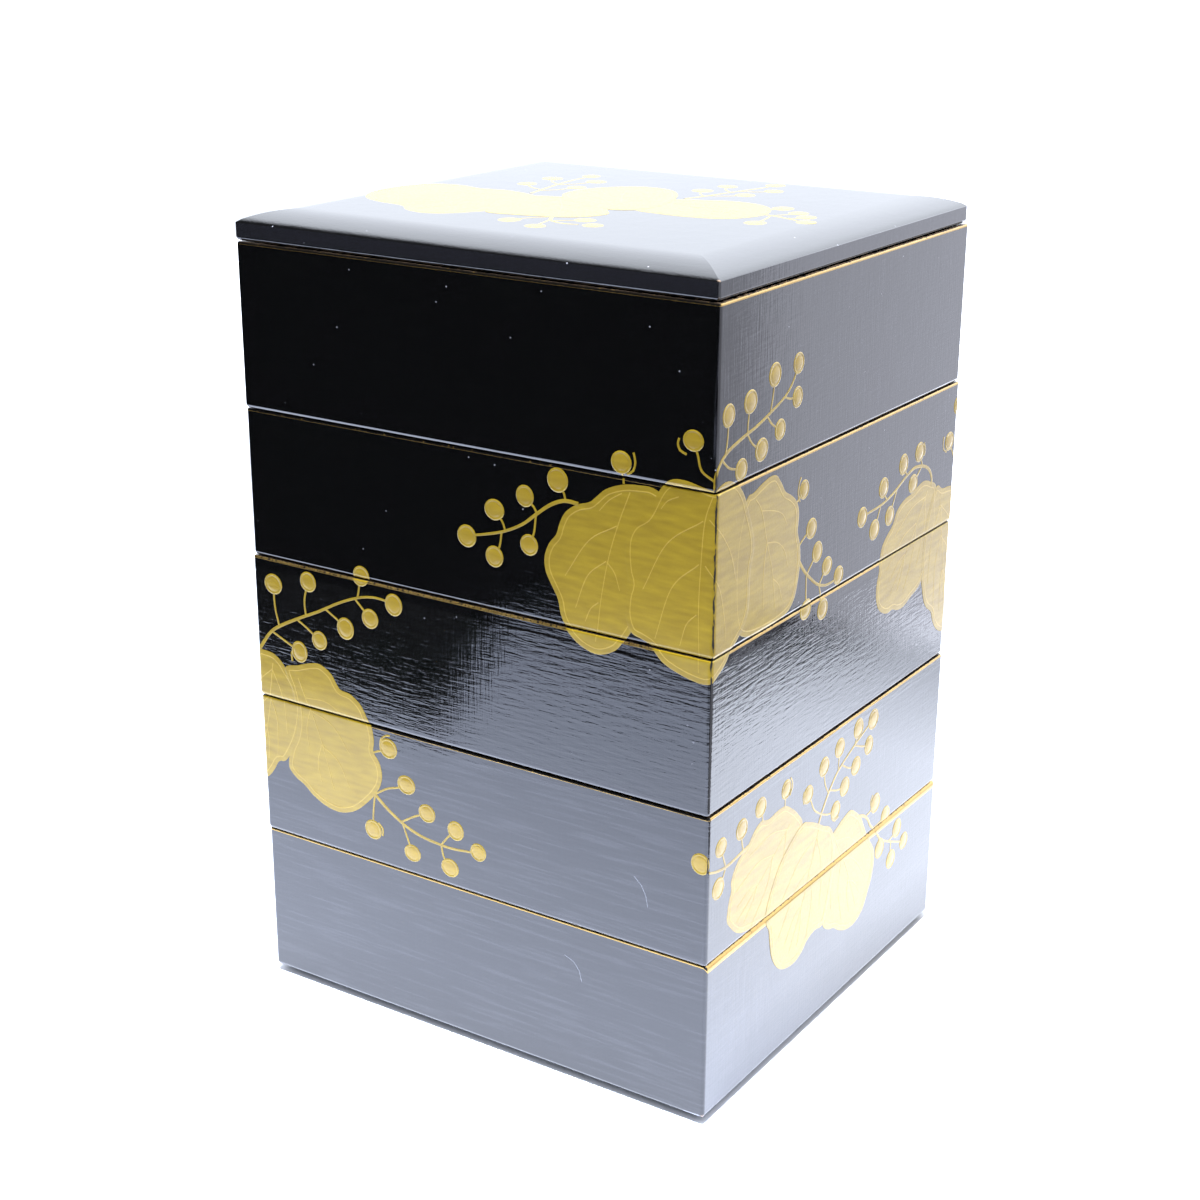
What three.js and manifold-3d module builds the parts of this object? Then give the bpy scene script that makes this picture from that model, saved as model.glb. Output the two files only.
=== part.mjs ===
// Five square lacquer boxes stacked on one another under one lid. Millimetres, +Z up.
// The front is -Y. The origin is on the ground, under the middle of the stack.
import * as THREE from "three";
import { mergeVertices } from "three/addons/utils/BufferGeometryUtils.js";
import Module from "manifold-3d";

const wasm = await Module();
wasm.setup();

// Plan of the walls
const WIDTH = 242;
const DEPTH = 227;
const CORNER_ROUND = 1.5;
const EDGE_ROUND = 0.8;

// Walls, bottom boards and feet
const WALL = 6.5;
const INNER_ROUND = 4;
const BOARD_ABOVE_EDGE = 3;
const FOOT_HEIGHT = 3.5;
const FOOT_SLACK = 1.6;
const FOOT_ROUND = 3;
const FOOT_EDGE = 0.6;

// Stacked pieces are drawn this far apart
const JOINT_GAP = 0.3;

// From the ground up. The pitch is one lower wall edge to the next, and the shift is how far
// each box has slid within the slack of its foot.
const TIERS = [
  { name: "fifth_tier", pitch: 74, shift: [0.5, 1.0] },
  { name: "fourth_tier", pitch: 68.6, shift: [0.6, 0.0] },
  { name: "third_tier", pitch: 68.6, shift: [0.2, -0.2] },
  { name: "second_tier", pitch: 68.6, shift: [1.3, -1.0] },
  { name: "first_tier", pitch: 74, shift: [0.0, 0.0] },
];

// Lid
const LID_SHIFT = [-1.3, 0.9];
const LID_SIDE = 8;
const LID_MARGIN = 21;
const LID_RISE = 5;
const LID_STEPS = 7;
const LID_CEILING = 6.5;
const LID_FRAME_WALL = 7;
const LID_FRAME_DROP = 3.5;

// Black lacquer
const LACQUER = { color: 0x17171a, roughness: 0.2, metalness: 0 };

const CURVE_SEGMENTS = 4;
const BEVEL_SEGMENTS = 3;
const OVERLAP = 1;

// Plan rectangle about the origin, with rounded corners when a radius is given
function plan(width, depth, radius) {
  const x = width / 2;
  const y = depth / 2;
  const outline = new THREE.Shape();
  if (radius === 0) {
    outline.moveTo(-x, -y);
    outline.lineTo(x, -y);
    outline.lineTo(x, y);
    outline.lineTo(-x, y);
    return outline;
  }
  outline.moveTo(-x + radius, -y);
  outline.lineTo(x - radius, -y);
  outline.absarc(x - radius, -y + radius, radius, -Math.PI / 2, 0);
  outline.absarc(x - radius, y - radius, radius, 0, Math.PI / 2);
  outline.absarc(-x + radius, y - radius, radius, Math.PI / 2, Math.PI);
  outline.absarc(-x + radius, -y + radius, radius, Math.PI, Math.PI * 1.5);
  return outline;
}

function solid(geometry) {
  geometry.deleteAttribute("normal");
  geometry.deleteAttribute("uv");
  const merged = mergeVertices(geometry, 1e-4);
  return new wasm.Manifold(
    new wasm.Mesh({
      numProp: 3,
      vertProperties: new Float32Array(merged.attributes.position.array),
      triVerts: new Uint32Array(merged.index.array),
    }),
  );
}

// Upright block from one level to another, its top and bottom edges rounded by edge
function block(width, depth, radius, from, to, edge = 0) {
  const geometry = new THREE.ExtrudeGeometry(plan(width, depth, radius), {
    depth: to - from - 2 * edge,
    curveSegments: CURVE_SEGMENTS,
    bevelEnabled: edge > 0,
    bevelThickness: edge,
    bevelSize: edge,
    bevelOffset: -edge,
    bevelSegments: BEVEL_SEGMENTS,
  });
  geometry.translate(0, 0, from + edge);
  return solid(geometry);
}

// Slab whose top edge slopes in by run while it rises from one level to another
function slopedSlab(width, depth, run, from, to) {
  const rise = to - from;
  const geometry = new THREE.ExtrudeGeometry(plan(width, depth, 0), {
    depth: OVERLAP,
    bevelEnabled: true,
    bevelThickness: rise,
    bevelSize: run,
    bevelOffset: -run,
    bevelSegments: 1,
  });
  geometry.translate(0, 0, from - OVERLAP);
  return solid(geometry);
}

function tier(edge, top) {
  const walls = block(WIDTH, DEPTH, CORNER_ROUND, edge, top, EDGE_ROUND);
  const inset = 2 * (WALL + FOOT_SLACK);
  const foot = block(
    WIDTH - inset,
    DEPTH - inset,
    FOOT_ROUND,
    edge - FOOT_HEIGHT,
    edge + OVERLAP + FOOT_EDGE,
    FOOT_EDGE,
  );
  const hollow = block(
    WIDTH - 2 * WALL,
    DEPTH - 2 * WALL,
    INNER_ROUND,
    edge + BOARD_ABOVE_EDGE,
    top + OVERLAP,
  );
  return walls.add(foot).subtract(hollow);
}

// Height of the lid's rounded margin at a distance in from its edge
function crown(inward) {
  return LID_RISE * (1 - (1 - inward / LID_MARGIN) ** 2);
}

function lid(edge) {
  const shoulder = edge + LID_SIDE;
  let crowned = block(WIDTH, DEPTH, 0, edge, shoulder);
  for (let step = 0; step < LID_STEPS; step += 1) {
    const near = (LID_MARGIN * step) / LID_STEPS;
    const far = (LID_MARGIN * (step + 1)) / LID_STEPS;
    const slab = slopedSlab(
      WIDTH - 2 * near,
      DEPTH - 2 * near,
      far - near,
      shoulder + crown(near),
      shoulder + crown(far),
    );
    crowned = crowned.add(slab);
  }
  const rounded = block(
    WIDTH,
    DEPTH,
    CORNER_ROUND,
    edge,
    shoulder + 2 * LID_RISE,
    EDGE_ROUND,
  );
  const inset = 2 * (WALL + FOOT_SLACK);
  const frame = block(
    WIDTH - inset,
    DEPTH - inset,
    FOOT_ROUND,
    edge - LID_FRAME_DROP,
    edge + OVERLAP + FOOT_EDGE,
    FOOT_EDGE,
  );
  const hollow = block(
    WIDTH - inset - 2 * LID_FRAME_WALL,
    DEPTH - inset - 2 * LID_FRAME_WALL,
    FOOT_ROUND,
    edge - LID_FRAME_DROP - OVERLAP,
    edge + LID_CEILING,
  );
  return crowned.intersect(rounded).add(frame).subtract(hollow);
}

function piece(name, shape, shift) {
  const { vertProperties, triVerts } = shape
    .translate([shift[0], shift[1], 0])
    .getMesh();
  const geometry = new THREE.BufferGeometry();
  geometry.setAttribute(
    "position",
    new THREE.BufferAttribute(new Float32Array(vertProperties), 3),
  );
  geometry.setIndex(new THREE.BufferAttribute(new Uint32Array(triVerts), 1));
  geometry.computeVertexNormals();
  const mesh = new THREE.Mesh(geometry, new THREE.MeshStandardMaterial(LACQUER));
  mesh.name = name;
  return mesh;
}

const box = new THREE.Group();
let edge = FOOT_HEIGHT;
for (const { name, pitch, shift } of TIERS) {
  box.add(piece(name, tier(edge, edge + pitch - JOINT_GAP), shift));
  edge += pitch;
}
box.add(piece("lid", lid(edge), LID_SHIFT));

export default box;
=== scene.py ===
"""Five stacked lacquer food boxes under one lid, with gold leaves and buds trailing over their joints."""

import math
import random

import bmesh
import bpy
from mathutils import Euler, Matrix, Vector


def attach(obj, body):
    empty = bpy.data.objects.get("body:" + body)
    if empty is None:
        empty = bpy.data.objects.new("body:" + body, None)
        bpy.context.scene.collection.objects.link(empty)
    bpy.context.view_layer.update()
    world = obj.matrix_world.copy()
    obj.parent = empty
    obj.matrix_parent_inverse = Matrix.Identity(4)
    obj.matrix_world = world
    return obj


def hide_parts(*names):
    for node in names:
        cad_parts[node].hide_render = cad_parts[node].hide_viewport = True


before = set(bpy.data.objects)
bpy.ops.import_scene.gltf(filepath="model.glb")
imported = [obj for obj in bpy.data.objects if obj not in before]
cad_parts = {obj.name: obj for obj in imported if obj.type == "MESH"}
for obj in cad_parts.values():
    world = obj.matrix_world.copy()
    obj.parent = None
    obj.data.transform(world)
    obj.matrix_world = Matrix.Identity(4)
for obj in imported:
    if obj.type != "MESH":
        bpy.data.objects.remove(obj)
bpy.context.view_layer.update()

chance = random.Random(5)

# Sizes are in millimetres, as in the solids, until a piece is written out in metres
MM = 0.001
WIDTH = 242.0
DEPTH = 227.0
CORNER_ROUND = 1.5
# The lower edge of a wall: a small facet, leaning so many degrees, between two rounded parts
LOWER_ROUND = 1.2
LOWER_FACET = 0.6
FACET_TURN = 23.0
# The gold rim of a wall, and how many times wider it is on the right of a box
RIM_ROUND = 0.7
WIDE_RIM = {"fifth_tier": 3.0}
WALL = 6.5
INNER_ROUND = 4.0
FLOOR_FILLET = 1.6
FLOOR_FILLET_MIDDLE = 0.5
BOARD_ABOVE_EDGE = 3.0
FOOT_HEIGHT = 3.5
FOOT_INSET = 8.1
FOOT_ROUND = 3.0
FOOT_EDGE = 0.6
JOINT_GAP = 0.3

# Name, pitch from one lower wall edge to the next, and how far the box has slid on its foot
TIERS = (
    ("fifth_tier", 74.0, (0.5, 1.0)),
    ("fourth_tier", 68.6, (0.6, 0.0)),
    ("third_tier", 68.6, (0.2, -0.2)),
    ("second_tier", 68.6, (0.3, 0.4)),
    ("first_tier", 74.0, (0.0, 0.0)),
)
LID_SHIFT = (-1.3, 0.9)
LID_SIDE = 8.0
LID_MARGIN = 21.0
LID_RISE = 5.0
CROWN_START = 0.8
CROWN_STEPS = 14
CROWN_FLAT = 4.0
LID_CEILING = 6.5
CEILING_BEVEL = 1.2
LID_FRAME_WALL = 7.0
LID_FRAME_DROP = 3.5
LID_EDGE_ROUND = 0.5

# Gold work: how far each layer of film stands off the lacquer, and the lines drawn on it
FILM_STEP = 0.06
FILM_EDGE = 0.048
FILM_BEVEL = 0.3
FILM_SUNK = 0.25
LID_FILM_SHARE = 0.35
LINE_HEIGHT = 0.07
LINE_SIDES = 6
MARGIN_LINE_IN = 2.4
VEIN_WIDTH = 0.6
VEIN_TIP_WIDTH = 0.36
STEM_WIDTHS = (2.0, 1.2)
STEM_BASE = 0.02
STEM_HEIGHT = 0.14
STALK_WIDTH = 1.15
STALK_HEIGHT = 0.112
BUD_RADIUS = 4.8
BUD_SIZES = (0.93, 1.05)
BUD_OVAL = 0.06

LACQUER, GOLD_RIM = 0, 1
FILM, LINE, BUD = 0, 1, 2
FRONT, RIGHT, BACK, LEFT = range(4)


# Camera, as the photograph was taken

CAMERA_PLACE = (497.7, -771.4, 507.9)
CAMERA_TURN = (70.512, -0.276, 33.242)
CAMERA_LENS = 61.63

camera_data = bpy.data.cameras.new("camera")
camera_data.lens = CAMERA_LENS
camera_data.sensor_width = 36.0
camera_data.clip_end = 50.0
camera = bpy.data.objects.new("camera", camera_data)
camera.location = Vector(CAMERA_PLACE) * MM
camera.rotation_euler = Euler([math.radians(turn) for turn in CAMERA_TURN], "XYZ")
bpy.context.collection.objects.link(camera)
bpy.context.scene.camera = camera


# Materials

# Grains of a pattern, in millimetres along the wall, across it and up it. The threads of the cloth are
# drawn coarser than they are, because real ones are too fine to show from here
LEVEL_THREADS = (11.0, 11.0, 1.5)
UPRIGHT_THREADS = (1.1, 1.0, 16.0)
SHEEN_LEVEL_THREADS = (34.0, 34.0, 1.4)
SHEEN_UPRIGHT_THREADS = (1.1, 1.0, 24.0)
LACQUER_PATCHES = (2.2, 2.2, 3.2)
HAZE_PATCHES = (30.0, 30.0, 12.0)
GOLD_PATCHES = (1.4, 1.4, 5.0)
GOLD_STREAKS = (14.0, 14.0, 2.4)
GOLD_POWDER = (0.9, 0.9, 0.9)

UPRIGHT_SHARE = 0.28
# Boxes differ in how much their level threads show: a joint, the share below it and the share above it
SHOWN_THREADS = ((140.6, 0.45, 1.0), (209.2, 1.0, 0.5))
JOINT_BLEND = 0.5
WEAVE_DEPTH = 0.115
WEAVE_RANGE = (0.4, 0.9)
# Painted sheen of the weave lies in the level threads below this height, and in the upright ones to the
# right of this place
SHEEN_THREADS_BELOW = 142.4
SHEEN_THREADS_FROM = 119.5
SHEEN_RANGE = (0.5, 0.68)
SPECK_SPACING = 10.0
SPECK_RADIUS = 0.42
SPECK_COVER = 0.6
SPECKS_ABOVE = 150.0
LACQUER_IOR = 1.56
LACQUER_ROUGHNESS = (0.05, 0.09)
GOLD_COAT_ROUGHNESS = 0.14
GOLD_SPECULAR = 0.25
# Most of the noise lies between these values
NOISE_RANGE = (0.3, 0.7)
# Wear on an edge, times the patches, between which the coat goes from whole to bare. On the front rims this
# wear also carries painted shade
LACQUER_BARES = (0.54, 0.66)
GOLD_BARES = (0.36, 0.48)
POWDER_SPREAD = 0.06
# The side of the lid is dulled by handling, this far above and below its middle
HANDLED_LEVEL = 361.3
HANDLED_REACH = 3.6
# Strokes where the lacquer is scratched or chipped: start, end and half width
MARKS = (
    ((86.0, -113.5, 110.0), (89.6, -113.5, 106.8), 0.16),
    ((89.6, -113.5, 106.8), (91.8, -113.5, 102.6), 0.16),
    ((91.8, -113.5, 102.6), (92.8, -113.5, 97.6), 0.13),
    ((50.0, -112.5, 61.0), (54.5, -112.5, 59.2), 0.13),
    ((54.5, -112.5, 59.2), (57.6, -112.5, 55.6), 0.14),
    ((57.6, -112.5, 55.6), (58.8, -112.5, 50.6), 0.13),
    ((112.0, -112.5, 4.0), (119.0, -112.5, 4.4), 0.8),
    ((119.6, -112.6, 367.2), (118.4, -111.4, 367.6), 1.0),
    ((121.0, -113.5, 283.0), (121.0, -113.5, 285.5), 1.2),
)


def linear(colour, alpha=1.0):
    """sRGB hex to the linear colour that shaders take."""
    channels = [int(colour[i : i + 2], 16) / 255 for i in (1, 3, 5)]
    return tuple(c / 12.92 if c <= 0.04045 else ((c + 0.055) / 1.055) ** 2.4 for c in channels) + (alpha,)


def add(tree, kind, inputs=None, **settings):
    """Adds a node with its settings, its values and its links."""
    made = tree.nodes.new(kind)
    for name, value in settings.items():
        setattr(made, name, value)
    for name, value in (inputs or {}).items():
        if isinstance(value, bpy.types.NodeSocket):
            tree.links.new(value, made.inputs[name])
        else:
            made.inputs[name].default_value = value
    return made


def new_material(name):
    """A material with its shader, its tree and nothing else."""
    material = bpy.data.materials.new(name)
    material.use_nodes = True
    tree = material.node_tree
    tree.nodes.clear()
    shader = add(tree, "ShaderNodeBsdfPrincipled")
    add(tree, "ShaderNodeOutputMaterial", {"Surface": shader.outputs["BSDF"]})
    return material, tree, shader


def grain(tree, along, across, upright, detail=2.0):
    """Noise whose grains are so many millimetres along the wall, across it and up it."""
    place = add(tree, "ShaderNodeTexCoord").outputs["Object"]
    stretched = add(
        tree,
        "ShaderNodeMapping",
        {"Vector": place, "Scale": (1 / (along * MM), 1 / (across * MM), 1 / (upright * MM))},
    )
    return add(
        tree, "ShaderNodeTexNoise", {"Vector": stretched.outputs["Vector"], "Scale": 1.0, "Detail": detail}
    ).outputs["Fac"]


def cloth_weave(tree):
    """The hemp cloth under the lacquer telegraphs through as fine level and upright threads."""
    place = add(tree, "ShaderNodeTexCoord").outputs["Object"]
    height = add(tree, "ShaderNodeSeparateXYZ", {"Vector": place}).outputs["Z"]
    level = grain(tree, *LEVEL_THREADS, detail=3.0)
    for joint, share_below, share_above in SHOWN_THREADS:
        shown = add(
            tree,
            "ShaderNodeMapRange",
            {
                "Value": height,
                "From Min": (joint - JOINT_BLEND) * MM,
                "From Max": (joint + JOINT_BLEND) * MM,
                "To Min": share_below,
                "To Max": share_above,
            },
        ).outputs["Result"]
        level = add(tree, "ShaderNodeMath", {0: level, 1: shown}, operation="MULTIPLY").outputs[0]
    upright = grain(tree, *UPRIGHT_THREADS)
    return add(
        tree, "ShaderNodeMath", {0: upright, 1: UPRIGHT_SHARE, 2: level}, operation="MULTIPLY_ADD"
    ).outputs[0]


def ridged(tree, weave):
    """The surface's direction over the ridges of the weave."""
    bump = add(tree, "ShaderNodeBump", {"Height": weave, "Strength": 1.0, "Distance": WEAVE_DEPTH * MM})
    return bump.outputs["Normal"]


def worn_through_and_shaded(tree, patches, bares):
    """How bare an edge is, patch by patch, from the wear that its piece carries, which on the front rims
    also holds painted shade.
    """
    worn = add(tree, "ShaderNodeAttribute", attribute_name="edge_wear_and_shade").outputs["Fac"]
    wear = add(tree, "ShaderNodeMath", {0: worn, 1: grain(tree, *patches)}, operation="MULTIPLY").outputs[0]
    bare_and_shaded = add(tree, "ShaderNodeMapRange", {"Value": wear, "From Min": bares[0], "From Max": bares[1]})
    return bare_and_shaded.outputs["Result"]


def dust_specks(tree):
    """Specks of dust under a millimetre across, a few to a palm's width, on the upper boxes."""
    place = add(tree, "ShaderNodeTexCoord").outputs["Object"]
    cells = add(tree, "ShaderNodeTexVoronoi", {"Vector": place, "Scale": 1 / (SPECK_SPACING * MM)})
    speck = add(
        tree,
        "ShaderNodeMapRange",
        {
            "Value": cells.outputs["Distance"],
            "From Min": SPECK_RADIUS / SPECK_SPACING,
            "From Max": 0.5 * SPECK_RADIUS / SPECK_SPACING,
            "To Max": SPECK_COVER,
        },
    ).outputs["Result"]
    height = add(tree, "ShaderNodeSeparateXYZ", {"Vector": place}).outputs["Z"]
    high_up = add(tree, "ShaderNodeMath", {0: height, 1: SPECKS_ABOVE * MM}, operation="GREATER_THAN")
    return add(tree, "ShaderNodeMath", {0: speck, 1: high_up.outputs[0]}, operation="MULTIPLY").outputs[0]


def painted_thread_sheen(tree):
    """Painted sheen: pale colour in the level threads of the lower boxes and the upright threads of the
    right walls, for the glints of the weave there.
    """
    place = add(tree, "ShaderNodeTexCoord").outputs["Object"]
    spot = add(tree, "ShaderNodeSeparateXYZ", {"Vector": place})
    low = add(
        tree, "ShaderNodeMath", {0: spot.outputs["Z"], 1: SHEEN_THREADS_BELOW * MM}, operation="LESS_THAN"
    )
    right = add(
        tree, "ShaderNodeMath", {0: spot.outputs["X"], 1: SHEEN_THREADS_FROM * MM}, operation="GREATER_THAN"
    )
    sheen = 0.0
    for threads, shown in ((SHEEN_LEVEL_THREADS, low), (SHEEN_UPRIGHT_THREADS, right)):
        pale = add(
            tree,
            "ShaderNodeMapRange",
            {"Value": grain(tree, *threads), "From Min": SHEEN_RANGE[0], "From Max": SHEEN_RANGE[1]},
        )
        sheen = add(
            tree,
            "ShaderNodeMath",
            {0: pale.outputs["Result"], 1: shown.outputs[0], 2: sheen},
            operation="MULTIPLY_ADD",
        ).outputs[0]
    return sheen


def scratches_and_chips(tree):
    """How much of the lacquer is scraped away, from the distance to each short stroke."""
    place = add(tree, "ShaderNodeTexCoord").outputs["Object"]
    scraped = 0.0
    for start, end, width in MARKS:
        start, run = Vector(start) * MM, (Vector(end) - Vector(start)) * MM
        from_start = add(tree, "ShaderNodeVectorMath", {0: place, 1: start}, operation="SUBTRACT")
        offset = from_start.outputs["Vector"]
        share = add(
            tree, "ShaderNodeVectorMath", {0: offset, 1: run / run.length_squared}, operation="DOT_PRODUCT"
        ).outputs["Value"]
        along = add(tree, "ShaderNodeClamp", {"Value": share}).outputs["Result"]
        nearest = add(tree, "ShaderNodeVectorMath", {0: run, "Scale": along}, operation="SCALE")
        away = add(
            tree, "ShaderNodeVectorMath", {0: offset, 1: nearest.outputs["Vector"]}, operation="DISTANCE"
        ).outputs["Value"]
        mark = add(
            tree,
            "ShaderNodeMapRange",
            {"Value": away, "From Min": width * MM, "From Max": 0.4 * width * MM},
        ).outputs["Result"]
        scraped = add(tree, "ShaderNodeMath", {0: scraped, 1: mark}, operation="MAXIMUM").outputs[0]
    return scraped


def brushed_black_lacquer():
    """Black urushi brushed over hemp cloth: deep black, with mirror glints broken by the weave."""
    material, tree, shader = new_material("brushed_black_lacquer")
    bare_and_shaded = worn_through_and_shaded(tree, LACQUER_PATCHES, LACQUER_BARES)
    weave = cloth_weave(tree)
    # The raised threads are painted paler: a painted sheen that stands in for the glints of the weave
    weave_sheen = add(
        tree,
        "ShaderNodeMapRange",
        {"Value": weave, "From Min": WEAVE_RANGE[0], "From Max": WEAVE_RANGE[1]},
    )
    colour = add(
        tree,
        "ShaderNodeMix",
        {"Factor": weave_sheen.outputs["Result"], "A": linear("#040404"), "B": linear("#0c0c0b")},
        data_type="RGBA",
    ).outputs["Result"]
    place = add(tree, "ShaderNodeTexCoord").outputs["Object"]
    height = add(tree, "ShaderNodeSeparateXYZ", {"Vector": place}).outputs["Z"]
    handled = add(
        tree,
        "ShaderNodeMath",
        {0: height, 1: HANDLED_LEVEL * MM, 2: HANDLED_REACH * MM},
        operation="COMPARE",
    ).outputs[0]
    # The first of these covers is painted sheen in the threads; the rest are marks of handling, wear, dust
    # and scratches
    for cover, shade in (
        (painted_thread_sheen(tree), "#1e1e20"),
        (handled, "#141416"),
        (bare_and_shaded, "#5a4a3a"),
        (dust_specks(tree), "#8e8e92"),
        (scratches_and_chips(tree), "#6a6c72"),
    ):
        colour = add(
            tree, "ShaderNodeMix", {"Factor": cover, "A": colour, "B": linear(shade)}, data_type="RGBA"
        ).outputs["Result"]
    haze = add(
        tree,
        "ShaderNodeMapRange",
        {
            "Value": grain(tree, *HAZE_PATCHES),
            "From Min": NOISE_RANGE[0],
            "From Max": NOISE_RANGE[1],
            "To Min": LACQUER_ROUGHNESS[0],
            "To Max": LACQUER_ROUGHNESS[1],
        },
    )
    tree.links.new(colour, shader.inputs["Base Color"])
    tree.links.new(haze.outputs["Result"], shader.inputs["Roughness"])
    tree.links.new(ridged(tree, weave), shader.inputs["Normal"])
    shader.inputs["IOR"].default_value = LACQUER_IOR
    return material


def sprinkled_gold(name, deep, pale, roughness, metal, coat):
    """Gold powder sprinkled on wet lacquer and burnished: a soft metal glow under a thin clear coat."""
    material, tree, shader = new_material(name)
    bare_and_shaded = worn_through_and_shaded(tree, GOLD_PATCHES, GOLD_BARES)
    gold = add(
        tree,
        "ShaderNodeMix",
        {"Factor": grain(tree, *GOLD_STREAKS), "A": linear(deep), "B": linear(pale)},
        data_type="RGBA",
    )
    # Bare gold shows dark lacquer; on the front rims this darkening is also painted shade of the grooves
    colour = add(
        tree,
        "ShaderNodeMix",
        {"Factor": bare_and_shaded, "A": gold.outputs["Result"], "B": linear("#080604")},
        data_type="RGBA",
    )
    powder = add(
        tree,
        "ShaderNodeMapRange",
        {
            "Value": grain(tree, *GOLD_POWDER),
            "From Min": NOISE_RANGE[0],
            "From Max": NOISE_RANGE[1],
            "To Min": roughness - POWDER_SPREAD,
            "To Max": roughness + POWDER_SPREAD,
        },
    )
    tree.links.new(colour.outputs["Result"], shader.inputs["Base Color"])
    tree.links.new(powder.outputs["Result"], shader.inputs["Roughness"])
    for share, socket in ((metal, "Metallic"), (coat, "Coat Weight")):
        left = add(tree, "ShaderNodeMapRange", {"Value": bare_and_shaded, "To Min": share, "To Max": 0.0})
        tree.links.new(left.outputs["Result"], shader.inputs[socket])
    tree.links.new(ridged(tree, cloth_weave(tree)), shader.inputs["Normal"])
    shader.inputs["Coat Roughness"].default_value = GOLD_COAT_ROUGHNESS
    shader.inputs["Specular IOR Level"].default_value = GOLD_SPECULAR
    return material


lacquer = brushed_black_lacquer()
# Name, deep and pale tone, roughness, share of metal and weight of the coat
gold_film = sprinkled_gold("sprinkled_gold_film", "#6d570e", "#927b18", 0.5, 0.5, 0.57)
gold_line = sprinkled_gold("burnished_gold_line", "#8a7222", "#a48b32", 0.48, 0.5, 0.57)
gold_bud = sprinkled_gold("sprinkled_red_gold_bud", "#7a6212", "#91791e", 0.5, 0.5, 0.57)
gold_rim = sprinkled_gold("burnished_gold_rim", "#8a6f38", "#a2864c", 0.35, 1.0, 0.2)


# Making

SHARP_TURN = 42
CORNER_STEPS = 6
CORNER_POINTS = CORNER_STEPS + 3
# Narrow flat beside each rounded edge, so that its soft shading stays within it
FLAT_STRIP = 0.4
UNDER_CORNER = 0.4
RIM_CORNER = 0.5
LEAST_CORNER = 0.3
SHARP_CORNER = 0.05
# Wear that a piece carries to its material. The gold of a rim is rubbed away towards its top, where the
# next box sits. Along the front it is darker still: partly rubbed gold, partly painted shade in the grooves
# between the boxes
EDGE_WEAR = 0.6
CORNER_WEAR = 1.05
RIM_WEAR = (0.55, 0.55, 0.6, 0.85, 1.4)
FRONT_RIM_WEAR_AND_SHADE = {"third_tier": 0.8, "fifth_tier": 0.6}
WORN_AND_SHADED_FRONT_RIM = 1.5


def write_piece(bm, name, materials):
    """Scales a shape to metres and makes it one piece that rides on the stack."""
    bmesh.ops.scale(bm, vec=(MM, MM, MM), verts=bm.verts)
    mesh = bpy.data.meshes.new(name)
    bm.to_mesh(mesh)
    bm.free()
    mesh.polygons.foreach_set("use_smooth", [True] * len(mesh.polygons))
    mesh.set_sharp_from_angle(angle=math.radians(SHARP_TURN))
    for material in materials:
        mesh.materials.append(material)
    piece = bpy.data.objects.new(name, mesh)
    bpy.context.collection.objects.link(piece)
    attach(piece, "root")
    return piece


def ring_edges(bm, ring):
    """The edges between neighbours in a ring."""
    return [bm.edges.get((ring[i - 1], ring[i])) for i in range(len(ring))]


def next_ring(bm, ring, paint=None):
    """Extrudes a ring and gives the new one, in the same order."""
    made = bmesh.ops.extrude_edge_only(bm, edges=ring_edges(bm, ring))["geom"]
    fresh = {item for item in made if isinstance(item, bmesh.types.BMVert)}
    if paint is not None:
        for item in made:
            if isinstance(item, bmesh.types.BMFace):
                item.material_index = paint
    return [next(e.other_vert(v) for e in v.link_edges if e.other_vert(v) in fresh) for v in ring]


def place_on_plan(ring, inset, radius, level, top=None, wide=1.0):
    """Lays a ring on the plan of the walls, set in from it, with rounded corners.

    With a top given, the ring is part of a rim that is so many times wider on the right.
    """
    for i, vert in enumerate(ring):
        corner, step = divmod(i, CORNER_POINTS)
        share = min(max(step - 1, 0), CORNER_STEPS) / CORNER_STEPS
        angle = math.radians(90 * (corner + share))
        strip = FLAT_STRIP * (step - 1 - CORNER_STEPS * share)
        across = 1 if corner in (0, 3) else -1
        deep = 1 if corner in (0, 1) else -1
        x = across * (WIDTH / 2 - inset - radius) + radius * math.cos(angle) - strip * math.sin(angle)
        y = deep * (DEPTH / 2 - inset - radius) + radius * math.sin(angle) + strip * math.cos(angle)
        inward, drop = 0.0, 0.0
        if top is not None and across > 0:
            wider = max(math.cos(angle), 0.0) ** 2 * (wide - 1)
            inward, drop = inset * wider, (top - level) * wider
        vert.co = (x - inward, y, level - drop)


def shell(profile, front_rim_wear_and_shade=0.0, top=None, wide=1.0):
    """Skins a closed body over rings of (inset, corner radius, level, paint, wear)."""
    bm = bmesh.new()
    wear_and_shade_layer = bm.verts.layers.float.new("edge_wear_and_shade")
    ring = bmesh.ops.create_circle(bm, cap_ends=True, segments=4 * CORNER_POINTS, radius=1)["verts"]
    for number, (inset, radius, level, paint, wear) in enumerate(profile):
        if number:
            ring = next_ring(bm, ring, paint)
        on_rim = top is not None and level > top - RIM_ROUND - 2 * FLAT_STRIP and inset < WALL / 2
        place_on_plan(ring, inset, radius, level, top if on_rim else None, wide)
        for i, vert in enumerate(ring):
            on_corner = 1 < i % CORNER_POINTS < CORNER_POINTS - 2
            # Rims facing the front take the front value: partly rubbed gold, partly painted shade of the
            # groove
            facing_front = vert.co.y < -DEPTH / 2 + CORNER_ROUND / 2
            rim_wear_and_shade = max(wear, front_rim_wear_and_shade) if paint == GOLD_RIM and facing_front and wear else wear
            vert[wear_and_shade_layer] = max(rim_wear_and_shade, CORNER_WEAR if on_corner and wear else 0.0)
    bmesh.ops.contextual_create(bm, geom=ring)
    bmesh.ops.recalc_face_normals(bm, faces=bm.faces)
    return bm


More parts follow.
